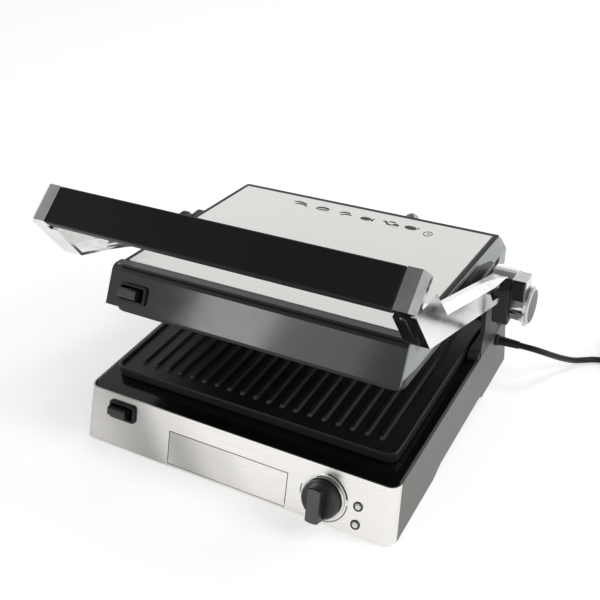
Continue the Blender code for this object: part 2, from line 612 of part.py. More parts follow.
def arm(side, sign):
    """A chrome arm with its end cap, web, strap and hub; only the right one has a hood over its knuckle."""
    hooded = sign > 0
    low, rear, rise = (-0.0270, 0.0095), (-0.0080, 0.0270), 0.0370
    if not hooded:
        low, rear, rise = (-0.0060, -0.0105), (0.0000, 0.0118), 0.0250
    outer = [(-0.2375, 0.1185), (-0.2090, 0.0740), low, rear, (-0.0480, rise),
             (-0.1732, 0.0835), (-0.1992, 0.1181), (-0.2262, 0.1200), (-0.2300, 0.1275)]
    inner = [(-0.2375, 0.1200), (-0.2090, 0.0740), low, rear, (-0.0480, rise + 0.0045),
             (-0.1700, 0.0870), (-0.1860, 0.0980), (-0.2262, 0.1160), (-0.2320, 0.1250)]
    sides = []
    for x, outline in ((0.1668, inner), (0.1725, inner), (ARM_OUT, outer)):
        sides.append([(sign * x, y, z) for y, z in outline])
    body = loft(side + "_arm", sides, CHROME, arm_axis)
    cap = []
    for x, depth, slide in ((BAR_HALF + GAP, 0.0, 0.0), (0.1754, 0.0, 0.0), (ARM_OUT, 0.0042, 0.0035)):
        corners = (
            bar_point(0, depth, slide * 0.3), bar_point(1, depth, -slide * 0.3),
            bar_point(1, CAP_THICK, -slide * 0.3), bar_point(0, CAP_THICK, slide * 0.3),
        )
        cap.append([(sign * x, y, z) for y, z in corners])
    join(body, loft(side + "_cap_tool", cap, CHROME, arm_axis))
    if hooded:
        recess = (
            (-0.0620, 0.0380), (-0.0540, 0.0255), (-0.0300, 0.0165), (-0.0170, 0.0100), (0.0, 0.0),
            (-0.0090, 0.0235), (-0.0450, 0.0330),
        )
        cut(body, prism(side + "_recess_tool", recess, ARM_RECESS_X, 0.2, CHROME, arm_axis))
    hub = []
    for k in range(36):
        a = 2 * math.pi * k / 36
        radius = HOOD_R[1] - 0.0002 if hooded and math.sin(a) > -0.1 else HUB_R
        hub.append((radius * math.cos(a), radius * math.sin(a)))
    join(body, prism(side + "_hub_tool", hub, sign * ARM_IN, sign * (KNUCKLE_X[0] - GAP), CHROME, arm_axis))
    well = ((sign * (KNUCKLE_X[0] - GAP), HOOD_R[0]), (sign * 0.2, HOOD_R[0]))
    cut(body, turned(side + "_well_tool", "X", (0, 0), well, CHROME, arm_axis, 36))
    if hooded:
        hood = []
        for x in (ARM_IN + 0.001, HOOD_OUT):
            ring = []
            for radius, order in ((HOOD_R[0], 1), (HOOD_R[1], -1)):
                for k in range(13)[::order]:
                    a = math.radians(HOOD_ARC[0] + (HOOD_ARC[1] - HOOD_ARC[0]) * k / 12)
                    ring.append((x, radius * math.cos(a), radius * math.sin(a)))
            hood.append(ring)
        join(body, loft(side + "_hood_tool", hood, CHROME, arm_axis))
    pivot = (LID_PIVOT[0] - HINGE[0], LID_PIVOT[1] - HINGE[1])
    join(
        body,
        turned(
            side + "_boss_tool", "X", pivot, ((sign * 0.1668, 0.0085), (sign * 0.1740, 0.0085)), CHROME,
            arm_axis, 28,
        ),
    )
    cut(
        body,
        turned(
            side + "_pin_hole_tool", "X", (0, 0), ((sign * 0.15, 0.0064), (sign * 0.2, 0.0064)), CHROME,
            arm_axis, 20,
        ),
    )
    cut(
        body,
        turned(
            side + "_pivot_hole_tool", "X", pivot, ((sign * 0.15, 0.0054), (sign * 0.1722, 0.0054)),
            CHROME, arm_axis, 20,
        ),
    )
    flange = ((-0.2325, 0.1118), (-0.2090, 0.0740), (-0.1500, 0.0531), (-0.1500, 0.0556), (-0.2075, 0.0765),
              (-0.2300, 0.1135))
    join(body, prism(side + "_flange_tool", flange, sign * 0.1598, sign * 0.1700, CHROME, arm_axis))
    pocket = ((-0.2270, 0.1100), (-0.2068, 0.0775), (-0.1450, 0.0548), (-0.1470, 0.0690), (-0.1700, 0.0800),
              (-0.1840, 0.0925), (-0.2180, 0.1080))
    cut(body, prism(side + "_pocket_tool", pocket, sign * 0.16, sign * 0.1745, CHROME, arm_axis))


def hinge(side, sign):
    y, z = HINGE[0] + FRONT_Y, HINGE[1]
    tower = ((0.2220, 0.0534), (0.2720, 0.0534), (0.2620, 0.0900), (0.2620, 0.1330), (0.2290, 0.1330),
             (0.2290, 0.0800), (0.2220, 0.0700))
    post = prism(side + "_hinge_tower", tower, sign * 0.1605, sign * 0.1650, SATIN, y_shift=FRONT_Y)
    step = ((0.2160, 0.0534), (0.2780, 0.0534), (0.2780, 0.0600), (0.2220, 0.0620), (0.2160, 0.0580))
    join(post, prism(side + "_tower_step_tool", step, sign * 0.1530, sign * 0.1640, SATIN, y_shift=FRONT_Y))
    cut(post, turned(side + "_tower_hole_tool", "X", (y, z), ((sign * 0.15, 0.0063), (sign * 0.18, 0.0063)),
        SATIN, None, 20))
    high = 0.0240 if sign > 0 else 0.0140
    block = ((-0.0160, -0.0240), (0.0160, -0.0240), (0.0170, high - 0.0100), (0.0080, high), (-0.0080, high),
             (-0.0165, high - 0.0090))
    knuckle = prism(side + "_hinge_knuckle", block, sign * KNUCKLE_X[0], sign * KNUCKLE_X[1], SATIN,
        hinge_axis)
    bevel(knuckle, 0.0012)
    cut(
        knuckle,
        turned(
            side + "_knuckle_hole_tool", "X", (0, 0), ((sign * 0.16, 0.0063), (sign * 0.20, 0.0063)),
            SATIN, hinge_axis, 20,
        ),
    )
    turned(side + "_hinge_pin", "X", (y, z), ((sign * 0.1600, 0.0060), (sign * 0.1858, 0.0060)), ALLOY,
        None, 20)


def handle_and_hinges():
    both_sides(arm)
    both_sides(hinge)
    bar = [bar_point(0, 0.0), bar_point(1, 0.0), bar_point(1, BAR_THICK), bar_point(0, BAR_THICK)]
    grip = prism("handle_bar", bar, -BAR_HALF, BAR_HALF, SATIN, arm_axis)
    bevel(grip, 0.0010)
    near, far = LEVER_X
    lever = turned(
        "lock_lever", "X", (0, 0),
        (
            (near, LEVER_R - 0.0040), (far - 0.0060, LEVER_R - 0.0030), (far - 0.0048, LEVER_R),
            (far - 0.0025, LEVER_R), (far - 0.0025, LEVER_R - 0.0022), (far - 0.0040, LEVER_R - 0.0022),
        ),
        CHROME, lever_axis, 36,
    )
    paddle = ((-0.0160, -0.0040), (-0.0020, -0.0040), (0.0040, 0.0100), (0.0020, 0.0345), (-0.0160, 0.0345))
    join(lever, prism("paddle_tool", paddle, near, far - 0.0042, CHROME, lever_axis))
    turned(
        "lock_lever_cap", "X", (0, 0),
        ((far - 0.0037, LEVER_R - 0.0026), (far - 0.0008, LEVER_R - 0.0026), (far, LEVER_R - 0.0038)),
        SATIN, lever_axis, 36,
    )
    box("lock_lever_inset", (near + 0.0014, -0.0175, 0.0132), (far - 0.0058, -0.0163, 0.0333), SATIN,
        lever_axis)
    turned(
        "left_hinge_cap", "X", (0, 0),
        (
            (-near, LEFT_CAP_R - 0.0030), (0.0060 - far, LEFT_CAP_R - 0.0020),
            (0.0048 - far, LEFT_CAP_R), (0.0010 - far, LEFT_CAP_R), (-far, LEFT_CAP_R - 0.0010),
        ),
        CHROME, lever_axis, 36,
    )


# ---- mains lead ----
def smooth_route(points, step):
    """Points a step apart on the Catmull-Rom curve through the given ones."""
    places = [Vector(p) for p in points]
    places = [2 * places[0] - places[1]] + places + [2 * places[-1] - places[-2]]
    fine = []
    for a, b, c, d in zip(places, places[1:], places[2:], places[3:]):
        for k in range(20):
            t = k / 20
            fine.append(0.5 * (2 * b + (c - a) * t + (2 * a - 5 * b + 4 * c - d) * t * t
                               + (3 * b - a - 3 * c + d) * t ** 3))
    fine.append(places[-2])
    out = [fine[0]]
    for place in fine:
        if (place - out[-1]).length >= step:
            out.append(place)
    if (fine[-1] - out[-1]).length < step / 2:
        out.pop()
    out.append(fine[-1])
    return [(p.x, p.y, p.z) for p in out]


def mains_lead():
    shift = Vector((0, FRONT_Y, 0))
    turned("cord_strain_relief", "X", (GLAND[0] + FRONT_Y, GLAND[1] - 0.0002),
           ((BASE_HALF + 0.0010, 0.0062), (BASE_HALF + 0.0035, 0.0060), (BASE_HALF + 0.0045, 0.0050),
           (GLAND_TIP_X, 0.0040)),
           RUBBER, None, 20)
    lead = smooth_route([Vector(p) + shift for p in CORD_ROUTE], 0.0150)
    tube("power_cord", lead, CORD_R, RUBBER)
    tail = smooth_route([Vector(p) + shift for p in TAIL_ROUTE], 0.0140)
    tube("power_cord_tail", tail, CORD_R, RUBBER)
    wide = 2 * CORD_R
    rings = []
    for z, radius in ((0.0003, COIL_MID_R - wide), (0.0003, COIL_MID_R + wide),
        (COIL_HIGH, COIL_MID_R + wide),
                      (COIL_HIGH, COIL_MID_R - wide)):
        ring = []
        for k in range(36):
            a = 2 * math.pi * k / 36
            ring.append((COIL_AT[0] + radius * math.cos(a), COIL_AT[1] + FRONT_Y + radius * math.sin(a), z))
        rings.append(ring)
    loft("power_cord_coil", rings, RUBBER, tube=True, smooth=True)
    y, z = TAIL_ROUTE[-1][1] + FRONT_Y, COIL_HIGH + GAP + PLUG_R
    back, neck, face, tip = PLUG_X
    plug = turned(
        "plug", "X", (y, z),
        (
            (back, 0.0042), (neck - 0.002, 0.0062), (neck, 0.0120), (neck + 0.006, 0.0170),
            (face - 0.002, PLUG_R), (face, PLUG_R - 0.001),
        ),
        RUBBER, None, 28,
    )
    for number, offset in enumerate((-0.0095, 0.0095), 1):
        join(
            plug,
            turned(
                f"pin_{number}_tool", "X", (y + offset, z),
                ((face - 0.004, 0.0024), (tip - 0.001, 0.0024), (tip, 0.0015)), ALLOY, None, 12,
            ),
        )


front_panel()
base_housing()
plates()
heating()
controls()
drip_tray()
lid()
handle_and_hinges()
mains_lead()
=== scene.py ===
"""The looks of a contact grill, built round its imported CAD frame."""

import bpy
import math
from mathutils import Matrix, Vector


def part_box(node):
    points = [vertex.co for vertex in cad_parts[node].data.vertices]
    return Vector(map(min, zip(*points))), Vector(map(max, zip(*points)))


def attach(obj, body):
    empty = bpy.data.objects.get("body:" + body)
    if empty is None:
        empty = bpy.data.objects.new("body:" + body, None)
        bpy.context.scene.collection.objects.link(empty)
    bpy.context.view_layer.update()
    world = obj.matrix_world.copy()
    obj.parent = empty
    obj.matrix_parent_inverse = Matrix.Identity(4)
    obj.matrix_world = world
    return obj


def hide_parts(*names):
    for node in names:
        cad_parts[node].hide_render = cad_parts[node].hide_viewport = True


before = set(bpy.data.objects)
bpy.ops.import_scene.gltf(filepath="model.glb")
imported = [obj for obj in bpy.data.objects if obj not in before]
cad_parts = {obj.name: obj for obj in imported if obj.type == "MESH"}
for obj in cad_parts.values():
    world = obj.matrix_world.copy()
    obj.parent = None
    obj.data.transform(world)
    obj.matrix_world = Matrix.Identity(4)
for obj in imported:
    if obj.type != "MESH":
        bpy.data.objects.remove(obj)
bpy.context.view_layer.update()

# ---- The frame's own places, in metres and radians ----------------------------------------------
FRONT_Y = -0.1502                               # the base's front bottom edge
PANEL_LEAN = math.atan2(0.0175, 0.0531)         # the front panel leans back
LID_TILT = math.radians(4.9)                    # the lid's top falls to the rear
LID_PIVOT = Vector((0, 0.165 + FRONT_Y, 0.150))
LID_UP = Vector((0, math.sin(LID_TILT), math.cos(LID_TILT)))
LID_BACK = Vector((0, math.cos(LID_TILT), -math.sin(LID_TILT)))
# The painted shade of the slot in each lid cover, from the lid's pivot: its upper edges as (slope,
# place), front and floor.
SLOT_EDGES = ((0.0, 0.0060), (0.203, 0.0196), (0.92, 0.0913), (1.38, 0.1399))
SLOT_FRONT = 0.020
SLOT_FLOOR = 0.0185
KNOB_X, KNOB_V = 0.0988, 0.0266                 # the knob on the panel
RECESS_X = 0.1712                               # the floor of the recess in the right arm
RECESS_Y = 0.0300                               # the recess lies behind this
PANEL_HALF = 0.17                               # half the front panel's width
REFLECTION_SLANT = 0.6                               # how far the painted reflection runs sideways for each metre up
BLEND_EDGE = 0.0002                             # half the width of a painted edge


# ---- Small helpers ------------------------------------------------------------------------------
def rgb(red, green, blue):
    """A display colour, 0 to 255, as the linear colour that a shader reads."""
    def linear(value):
        value = value / 255
        return value / 12.92 if value <= 0.04045 else ((value + 0.055) / 1.055) ** 2.4
    return (linear(red), linear(green), linear(blue), 1.0)


def grey(value):
    return rgb(value, value, value)


def on_panel(x, v, out):
    """A point on the front panel: v up along it, out in front of it."""
    return Vector((
        x,
        FRONT_Y + v * math.sin(PANEL_LEAN) - out * math.cos(PANEL_LEAN),
        v * math.cos(PANEL_LEAN) + out * math.sin(PANEL_LEAN),
    ))


def smooth_step(value, low, high):
    share = min(max((value - low) / (high - low), 0.0), 1.0)
    return share * share * (3 - 2 * share)


# ---- Camera -------------------------------------------------------------------------------------
AZIMUTH = math.radians(30.370)
ELEVATION = math.radians(32.916)
ROLL = math.radians(-3.005)
DISTANCE = 0.89273
TARGET = Vector((0.00019, 0.15392 + FRONT_Y, 0.11754))
SENSOR_MM, LENS_MM = 36, 54.667
NEAR = 0.01


def make_camera():
    back = Vector((
        math.sin(AZIMUTH) * math.cos(ELEVATION),
        -math.cos(AZIMUTH) * math.cos(ELEVATION),
        math.sin(ELEVATION),
    ))
    right = (-back).cross(Vector((0, 0, 1))).normalized()
    up = right.cross(-back)
    rolled = right * math.cos(ROLL) + up * math.sin(ROLL)
    top = up * math.cos(ROLL) - right * math.sin(ROLL)
    data = bpy.data.cameras.new("camera")
    data.sensor_width = SENSOR_MM
    data.lens = LENS_MM
    data.clip_start = NEAR
    camera = bpy.data.objects.new("camera", data)
    turn = Matrix((rolled, top, back)).transposed().to_4x4()
    camera.matrix_world = Matrix.Translation(TARGET + back * DISTANCE) @ turn
    bpy.context.scene.collection.objects.link(camera)
    bpy.context.scene.camera = camera


make_camera()

# ---- Cord ---------------------------------------------------------------------------------------
CORD_R = 0.00325
# Each route's points are measured from the front bottom edge of the base.
LEAD_ROUTE = (
    (0.1907, 0.2680, 0.0468), (0.1985, 0.2680, 0.0467), (0.2065, 0.2682, 0.0464),
    (0.2140, 0.2720, 0.0430), (0.2200, 0.2805, 0.0360), (0.2260, 0.2920, 0.0270),
    (0.2320, 0.3045, 0.0180), (0.2385, 0.3170, 0.0100), (0.2465, 0.3285, 0.0052),
    (0.2560, 0.3360, 0.0037), (0.2665, 0.3390, 0.0036), (0.2770, 0.3392, 0.0036),
    (0.2850, 0.3391, 0.0036), (0.2990, 0.33895, 0.0036),
)
TAIL_ROUTE = (
    (0.2762, 0.3780, 0.0169), (0.2775, 0.3690, 0.0180), (0.2822, 0.3605, 0.0205),
    (0.2875, 0.3545, 0.0245), (0.2925, 0.3518, 0.0285), (0.2975, 0.3510, 0.0310),
    (0.3040, 0.3510, 0.0316), (0.3110, 0.3510, 0.0316),
)
COIL_X, COIL_Y = 0.3120, 0.3780 + FRONT_Y
COIL_OUTER_R = 0.03905
COIL_STEP = 0.00665                             # between turns, a little over a diameter
COIL_TAIL_R = 0.0358
COIL_LOW_Z = 0.0036
COIL_TAIL_Z = 0.0168
COIL_SWEEP = 975                                # degrees from the front, about 2.7 turns
POINTS_APART = 15                               # degrees
# How far round the coil each change of radius or height starts and ends, in degrees.
STEP_IN = (270, 335)
STEP_UP = (565, 620)
TAIL_OUT = (900, 970)
TAIL_UP = (870, 970)


def coil_place(swept):
    """Radius and height in the coil, after swept degrees from its front."""
    inner = COIL_OUTER_R - COIL_STEP
    radius = COIL_OUTER_R - COIL_STEP * smooth_step(swept, *STEP_IN)
    radius += (COIL_TAIL_R - inner) * smooth_step(swept, *TAIL_OUT)
    height = COIL_LOW_Z + COIL_STEP * smooth_step(swept, *STEP_UP)
    height += (COIL_TAIL_Z - COIL_LOW_Z - COIL_STEP) * smooth_step(swept, *TAIL_UP)
    return radius, height


def cord_points():
    points = [Vector((x, y + FRONT_Y, z)) for x, y, z in LEAD_ROUTE]
    for swept in range(0, COIL_SWEEP + 1, POINTS_APART):
        radius, height = coil_place(swept)
        angle = math.radians(swept - 90)
        points.append(Vector((
            COIL_X + radius * math.cos(angle),
            COIL_Y + radius * math.sin(angle),
            height,
        )))
    points += [Vector((x, y + FRONT_Y, z)) for x, y, z in TAIL_ROUTE]
    return points


def make_cord():
    points = cord_points()
    data = bpy.data.curves.new("mains_cord", "CURVE")
    data.dimensions = "3D"
    data.bevel_depth = 1.0                      # times each point's radius
    data.bevel_resolution = 6
    data.resolution_u = 6
    data.use_fill_caps = True
    spline = data.splines.new("BEZIER")
    spline.bezier_points.add(len(points) - 1)
    for knot, point in zip(spline.bezier_points, points):
        knot.co = point
        knot.handle_left_type = knot.handle_right_type = "AUTO"
        knot.radius = CORD_R
    cord = bpy.data.objects.new("mains_cord", data)
    bpy.context.scene.collection.objects.link(cord)
    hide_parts("power_cord", "power_cord_tail", "power_cord_coil")
    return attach(cord, "base")


CORD = make_cord()


# ---- Materials ----------------------------------------------------------------------------------
class Shader:
    """A node material in the making."""

    def __init__(self, name):
        self.material = bpy.data.materials.new(name)
        self.material.use_nodes = True
        self.tree = self.material.node_tree
        self.principled = self.tree.nodes["Principled BSDF"]
        self.coords = self.tree.nodes.new("ShaderNodeTexCoord")

    def link(self, output, socket):
        self.tree.links.new(output, socket)

    def noise(self, scale, detail=3.0, rough=0.5):
        """Noise over the object's own space, scale in waves per metre along x, y and z."""
        mapping = self.tree.nodes.new("ShaderNodeMapping")
        mapping.inputs["Scale"].default_value = scale
        texture = self.tree.nodes.new("ShaderNodeTexNoise")
        texture.inputs["Scale"].default_value = 1.0
        texture.inputs["Detail"].default_value = detail
        texture.inputs["Roughness"].default_value = rough
        self.link(self.coords.outputs["Object"], mapping.inputs["Vector"])
        self.link(mapping.outputs["Vector"], texture.inputs["Vector"])
        return texture.outputs["Fac"]

    def dot(self, output, direction):
        node = self.tree.nodes.new("ShaderNodeVectorMath")
        node.operation = "DOT_PRODUCT"
        node.inputs[1].default_value = direction
        self.link(self.coords.outputs[output], node.inputs[0])
        return node.outputs["Value"]

    def along(self, direction, low, high):
        """0 to 1 as the place along a direction goes from low to high, in metres."""
        return self.spread(self.dot("Object", direction), low, high, 0.0, 1.0)

    def below(self, direction, place):
        """1 where the place along a direction, from the lid's pivot, is under the given one, else 0."""
        start = LID_PIVOT.dot(direction) + place
        value = self.along(direction, start - BLEND_EDGE, start + BLEND_EDGE)
        return self.spread(value, 0.0, 1.0, 1.0, 0.0)

    def facing(self, direction, low, high):
        """0 to 1 as the surface turns towards a direction, in the object's own space."""
        return self.spread(self.dot("Normal", Vector(direction).normalized()), low, high, 0.0, 1.0)

    def spread(self, value, low, high, to_low, to_high):
        spread = self.tree.nodes.new("ShaderNodeMapRange")
        spread.inputs["From Min"].default_value = low
        spread.inputs["From Max"].default_value = high
        spread.inputs["To Min"].default_value = to_low
        spread.inputs["To Max"].default_value = to_high
        self.link(value, spread.inputs["Value"])
        return spread.outputs["Result"]

    def maths(self, operation, first, second):
        node = self.tree.nodes.new("ShaderNodeMath")
        node.operation = operation
        for socket, value in zip(node.inputs, (first, second)):
            if isinstance(value, (int, float)):
                socket.default_value = value
            else:
                self.link(value, socket)
        return node.outputs["Value"]

    def mix(self, share, first, second, blend="MIX"):
        node = self.tree.nodes.new("ShaderNodeMix")
        node.data_type = "RGBA"
        node.blend_type = blend
        sockets = [s for s in node.inputs if s.type == "RGBA"]
        for socket, value in zip(sockets, (first, second)):
            if isinstance(value, tuple):
                socket.default_value = value
            else:
                self.link(value, socket)
        if isinstance(share, (int, float)):
            node.inputs["Factor"].default_value = share
        else:
            self.link(share, node.inputs["Factor"])
        return next(s for s in node.outputs if s.type == "RGBA")

    def colour(self, output):
        self.link(output, self.principled.inputs["Base Color"])

    def present_colour(self):
        return self.principled.inputs["Base Color"].links[0].from_socket

    def roughness(self, output):
        self.link(output, self.principled.inputs["Roughness"])

    def bump(self, height, depth, strength=1.0):
        node = self.tree.nodes.new("ShaderNodeBump")
        node.inputs["Strength"].default_value = strength
        node.inputs["Distance"].default_value = depth
        self.link(height, node.inputs["Height"])
        self.link(node.outputs["Normal"], self.principled.inputs["Normal"])

    def fixed(self, **values):
        """Sets sockets to one value all over, each named in lower case with underscores."""
        for name, value in values.items():
            socket = name.replace("_", " ").title().replace("Ior", "IOR")
            self.principled.inputs[socket].default_value = value


def finish_of(
    name, dark, light, grain, rough, depth, metal=0.0, patches=14.0, patch_share=0.35, **fixed,
):
    """A surface whose colour and roughness vary with a grain and, more slowly, in patches."""
    shader = Shader(name)
    fine = shader.noise(grain, 4.0, 0.6)
    slow = shader.noise((patches, patches, patches), 2.0)
    fine_tone, slow_tone = (shader.mix(value, grey(0), grey(255)) for value in (fine, slow))
    both = shader.mix(patch_share, fine_tone, slow_tone)
    shader.colour(shader.mix(shader.spread(both, 0.3, 0.7, 0.0, 1.0), dark, light))
    shader.roughness(shader.spread(both, 0.25, 0.75, rough[0], rough[1]))
    shader.bump(fine, depth, 0.6)
    shader.fixed(metallic=metal, **fixed)
    return shader


# Grains, in waves per metre along x, y and z.
BRUSH_X = (14, 2600, 2600)                      # hair lines along x
CAST = (900, 900, 900)
POLISH = (60, 60, 60)
MOULDED = (1600, 1600, 1600)
SPECKLE = (2400, 2400, 2400)

WARM = (0.99, 0.97)                             # the green and blue shares of a warm steel grey
STEEL_LIGHT = rgb(240, 239, 237)
STEEL_DARK = rgb(222, 220, 217)




def chrome(name, low=grey(206), high=grey(240), rough=(0.06, 0.16)):
    return finish_of(name, low, high, POLISH, rough, 0.00004, metal=1.0, patches=9.0)


def gloss_black(name, low=rgb(8, 10, 11), high=rgb(13, 15, 16), rough=(0.07, 0.15), specular=0.5):
    return finish_of(name, low, high, POLISH, rough, 0.00002, patches=18.0, specular_ior_level=specular)


def satin_black(name, low=grey(14), high=grey(24), rough=(0.38, 0.52), depth=0.00004, specular=0.25):
    return finish_of(name, low, high, MOULDED, rough, depth, specular_ior_level=specular)


def arm_chrome_painted_recess_shade():
    """Polished alloy, with painted shade: the floor of the recess round the right hinge is coloured
    dark.
    """
    shader = chrome("polished_arms", low=grey(214), high=grey(243), rough=(0.07, 0.17))
    base = shader.present_colour()
    above_floor = shader.along((1, 0, 0), RECESS_X + 0.0004, RECESS_X + 0.0006)
    inside = shader.spread(above_floor, 0.0, 1.0, 1.0, 0.0)
    for direction, place in (((1, 0, 0), RECESS_X - 0.0010), ((0, 1, 0), RECESS_Y)):
        past = shader.along(direction, place - BLEND_EDGE, place + BLEND_EDGE)
        inside = shader.maths("MULTIPLY", inside, past)
    outward_face = shader.facing((1, 0, 0), 0.75, 0.90)
    inside = shader.maths("MULTIPLY", inside, outward_face)
    # painted shade: the outward floor of the recess is coloured dark
    shader.colour(shader.mix(inside, base, rgb(58, 63, 68)))
    return shader


def cover_silver_painted_slot_shade():
    """Silver paint, with painted shade in both flanks: a black, non-metallic patch where the slot that
    the arm's pin moves in lies.
    """
    shader = finish_of(
        "silver_cover", rgb(132, 137, 135), rgb(156, 161, 158), SPECKLE, (0.28, 0.40), 0.00002,
        metal=0.8,
    )
    base = shader.present_colour()
    inside = shader.below(LID_UP, SLOT_EDGES[0][1])
    for lean, place in SLOT_EDGES[1:]:
        inside = shader.maths("MULTIPLY", inside, shader.below(LID_UP + LID_BACK * lean, place))
    inside = shader.maths("MULTIPLY", inside, shader.below(-LID_BACK, SLOT_FRONT))
    inside = shader.maths("MULTIPLY", inside, shader.below(-LID_UP, SLOT_FLOOR))
    # painted shade: the slot is coloured black and not metallic
    shader.colour(shader.mix(inside, base, rgb(9, 10, 10)))
    shader.link(shader.spread(inside, 0.0, 1.0, 0.8, 0.0), shader.principled.inputs["Metallic"])
    return shader


def front_steel_painted_reflection(name, reflection_tones):
    """Brushed steel with a painted reflection: its brightness changes along the panel, given as (x,
    brightness) pairs.
    """
    shader = finish_of(
        name, STEEL_DARK, STEEL_LIGHT, BRUSH_X, (0.20, 0.34), 0.00002,
        metal=1.0, patches=5.0, patch_share=0.25,
    )
    base = shader.present_colour()
    ramp = shader.tree.nodes.new("ShaderNodeValToRGB")
    ramp.color_ramp.interpolation = "EASE"
    while len(ramp.color_ramp.elements) < len(reflection_tones):
        ramp.color_ramp.elements.new(0.5)
    for element, (place, value) in zip(ramp.color_ramp.elements, reflection_tones):
        element.position = (place + PANEL_HALF) / (2 * PANEL_HALF)
        element.color = (value, value * WARM[0], value * WARM[1], 1.0)
    slope = Vector((1, 0, REFLECTION_SLANT))
    shader.link(shader.along(slope, -PANEL_HALF, PANEL_HALF), ramp.inputs["Fac"])
    # the painted reflection darkens the steel's colour along the panel
    shader.colour(shader.mix(1.0, base, ramp.outputs["Color"], "MULTIPLY"))
    return shader


GRIP_RISE = (0.0185, 0.0195)                    # the grip's face stands this far off the panel


def knob_finish():
    """A black body with a brushed grey face on its grip."""
    shader = Shader("knob_finish")
    out = Vector((0.0, -math.cos(PANEL_LEAN), math.sin(PANEL_LEAN)))
    face = shader.facing(out, 0.90, 0.97)
    raised = shader.along(out, *(on_panel(0, 0, height).dot(out) for height in GRIP_RISE))
    on_face = shader.maths("MULTIPLY", face, raised)
    grain = shader.noise((1800, 60, 60), 3.0)
    brushed = shader.mix(grain, rgb(42, 43, 44), rgb(82, 83, 84))
    moulded = shader.mix(shader.noise(MOULDED), grey(16), grey(30))
    shader.colour(shader.mix(on_face, moulded, brushed))
    shader.roughness(shader.spread(grain, 0.3, 0.7, 0.30, 0.44))
    shader.bump(grain, 0.00002, 0.5)
    return shader


PLATE_EDGE, EDGE_FADE = 0.0016, 0.0003


def top_plate_steel():
    """Brushed steel with a narrow black edge at both sides and the rear."""
    shader = Shader("top_plate_steel")
    low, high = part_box("lid_top_plate")
    fine = shader.noise(BRUSH_X, 4.0, 0.6)
    slow = shader.noise((4, 4, 4), 2.0)
    steel = shader.mix(shader.spread(fine, 0.3, 0.7, 0.0, 1.0), STEEL_DARK, STEEL_LIGHT)
    steel = shader.mix(shader.spread(slow, 0.3, 0.7, 0.0, 0.35), steel, rgb(222, 220, 217))
    inside = shader.along((1, 0, 0), low.x + PLATE_EDGE, low.x + PLATE_EDGE + EDGE_FADE)
    for direction, place in (((-1, 0, 0), -high.x), ((0, -1, 0), -high.y)):
        start = place + PLATE_EDGE
        inside = shader.maths("MULTIPLY", inside, shader.along(direction, start, start + EDGE_FADE))
    shader.colour(shader.mix(inside, grey(24), steel))
    shader.roughness(shader.spread(fine, 0.25, 0.75, 0.26, 0.42))
    shader.bump(fine, 0.00002, 0.5)
    shader.link(shader.spread(inside, 0.0, 1.0, 0.0, 1.0), shader.principled.inputs["Metallic"])
    return shader


PIN_LENGTH = 0.0188


def plug_finish():
    """Black moulded body, plated pins."""
    shader = Shader("plug_finish")
    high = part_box("plug")[1]
    pins = shader.along((1, 0, 0), high.x - PIN_LENGTH, high.x - PIN_LENGTH + BLEND_EDGE)
    grain = shader.noise(MOULDED)
    moulded = shader.mix(grain, grey(18), grey(32))
    plated = shader.mix(grain, grey(190), grey(222))
    shader.colour(shader.mix(pins, moulded, plated))
    shader.roughness(shader.spread(pins, 0.0, 1.0, 0.5, 0.2))
    shader.link(pins, shader.principled.inputs["Metallic"])
    shader.bump(grain, 0.00004, 0.5)
    return shader


def cap_finish():
    """A dark brown-grey face with a chrome rim."""
    shader = finish_of(
        "lever_cap", rgb(52, 50, 48), rgb(72, 69, 66), (600, 600, 600), (0.26, 0.38), 0.00002, metal=0.6,
    )
    base = shader.present_colour()
    shader.colour(shader.mix(shader.facing((1, 0, 0), 0.80, 0.95), grey(215), base))
    return shader


LENS_RIBS = 500.0


def lamp_lens(name):
    """A pale clear lens with fine ribs across it."""
    shader = Shader(name)
    wave = shader.tree.nodes.new("ShaderNodeTexWave")
    wave.inputs["Scale"].default_value = LENS_RIBS
    wave.inputs["Distortion"].default_value = 0.4
    shader.link(shader.coords.outputs["Object"], wave.inputs["Vector"])
    shader.colour(shader.mix(wave.outputs["Fac"], rgb(196, 198, 196), rgb(244, 245, 242)))
    shader.roughness(shader.spread(shader.noise(CAST), 0.3, 0.7, 0.08, 0.18))
    shader.bump(wave.outputs["Fac"], 0.00006, 0.5)
    shader.fixed(coat_weight=0.6)
    return shader


# The tones paint the reflections seen across the front panel and the tray front.
PANEL_STEEL = front_steel_painted_reflection(
    "front_steel_painted_reflection", ((-0.16, 0.72), (-0.085, 0.46), (-0.045, 0.82), (0.01, 1.0), (0.17, 1.0)),
)
TRAY_STEEL = front_steel_painted_reflection(
    "tray_front_steel_painted_reflection", ((-0.09, 0.80), (-0.045, 0.50), (0.00, 0.80), (0.045, 1.0), (0.17, 1.0)),
)
CHROME = arm_chrome_painted_recess_shade()
CHROME_TRIM = chrome("chrome_trim", low=grey(190), high=grey(226), rough=(0.05, 0.12))
SILVER = finish_of(
    "silver_paint", rgb(150, 154, 152), rgb(172, 176, 174), SPECKLE, (0.28, 0.40), 0.00002, metal=0.75,
)
COVER = cover_silver_painted_slot_shade()
SIDE_GREY = finish_of(
    "side_grey", rgb(92, 94, 91), rgb(112, 114, 110), SPECKLE, (0.42, 0.56), 0.00003, metal=0.35,
)
GLOSS = gloss_black("gloss_black", specular=0.5)
DECK = gloss_black("deck_black", rough=(0.10, 0.18), specular=0.4)
SATIN = satin_black("satin_black")
BAR = satin_black(
    "handle_black", low=rgb(20, 21, 21), high=rgb(26, 28, 28), rough=(0.36, 0.48), specular=0.15,
)
COATING = finish_of(
    "nonstick_coating", rgb(15, 14, 13), rgb(31, 30, 28), SPECKLE, (0.32, 0.46), 0.00006,
    specular_ior_level=0.35,
)
